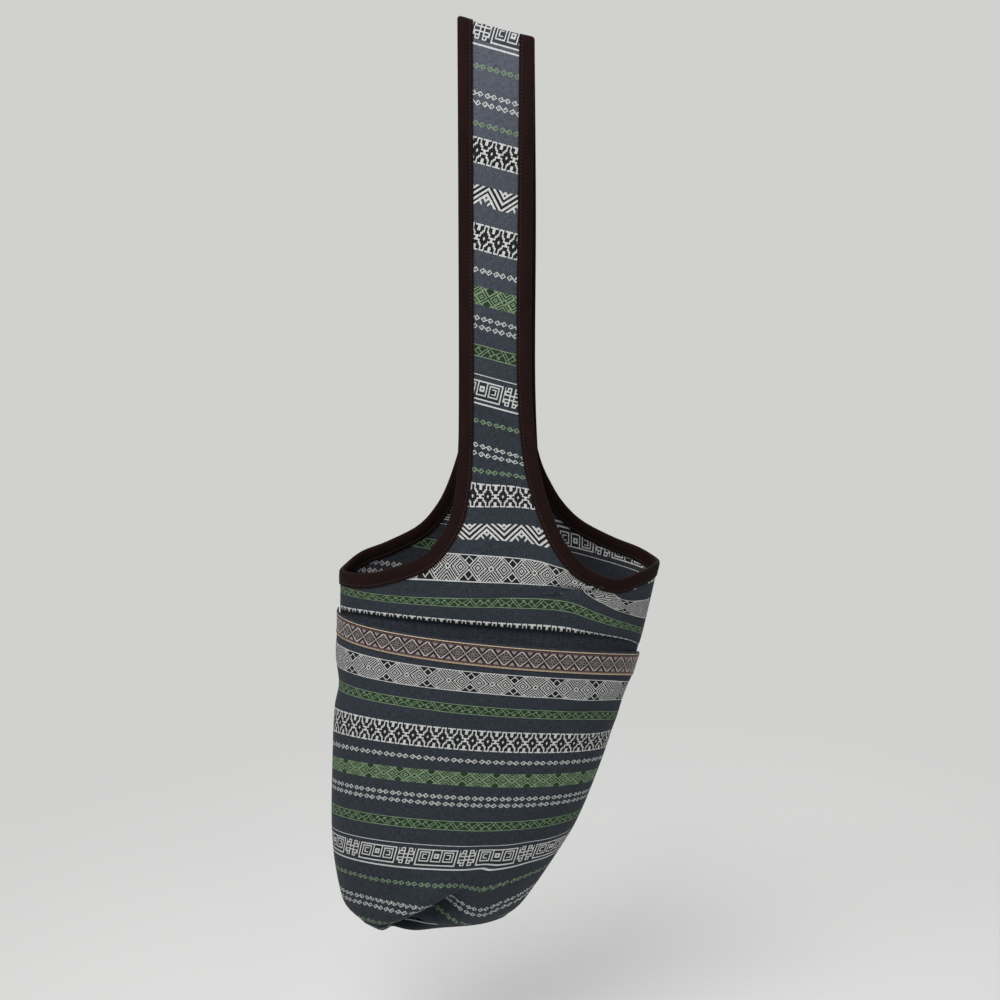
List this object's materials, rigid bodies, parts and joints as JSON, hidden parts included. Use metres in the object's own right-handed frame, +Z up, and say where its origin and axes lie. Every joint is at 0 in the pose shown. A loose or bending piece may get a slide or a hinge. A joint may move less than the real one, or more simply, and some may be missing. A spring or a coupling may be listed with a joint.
{
  "type": "bucket shoulder bag",
  "caption": "Cloth bucket shoulder bag hanging by its wide strap, with bound armholes, an oval base and a slanted front patch pocket trimmed with ribbon.",
  "frame": {"origin": "underside of the strap's hanging fold, in the middle of its width", "axes": "+X to the right as seen from the front, +Y from the front to the back, +Z up"},
  "size_m": [0.312, 0.1582, 0.8305],
  "materials": {
    "printed_cotton": "matt woven cotton with a white and green stripe print",
    "lining_cotton": "the same printed cotton, inside",
    "binding_tape": "matt dark brown folded tape",
    "jacquard_ribbon": "woven ribbon, dusty pink on black"
  },
  "bodies": {
    "root": {"outer_panel": "printed_cotton", "lining_panel": "lining_cotton", "left_binding": "binding_tape", "right_binding": "binding_tape", "front_pocket": "printed_cotton", "pocket_ribbon": "jacquard_ribbon", "base_lining": "lining_cotton", "base_panel": "printed_cotton"}
  },
  "joints": []
}
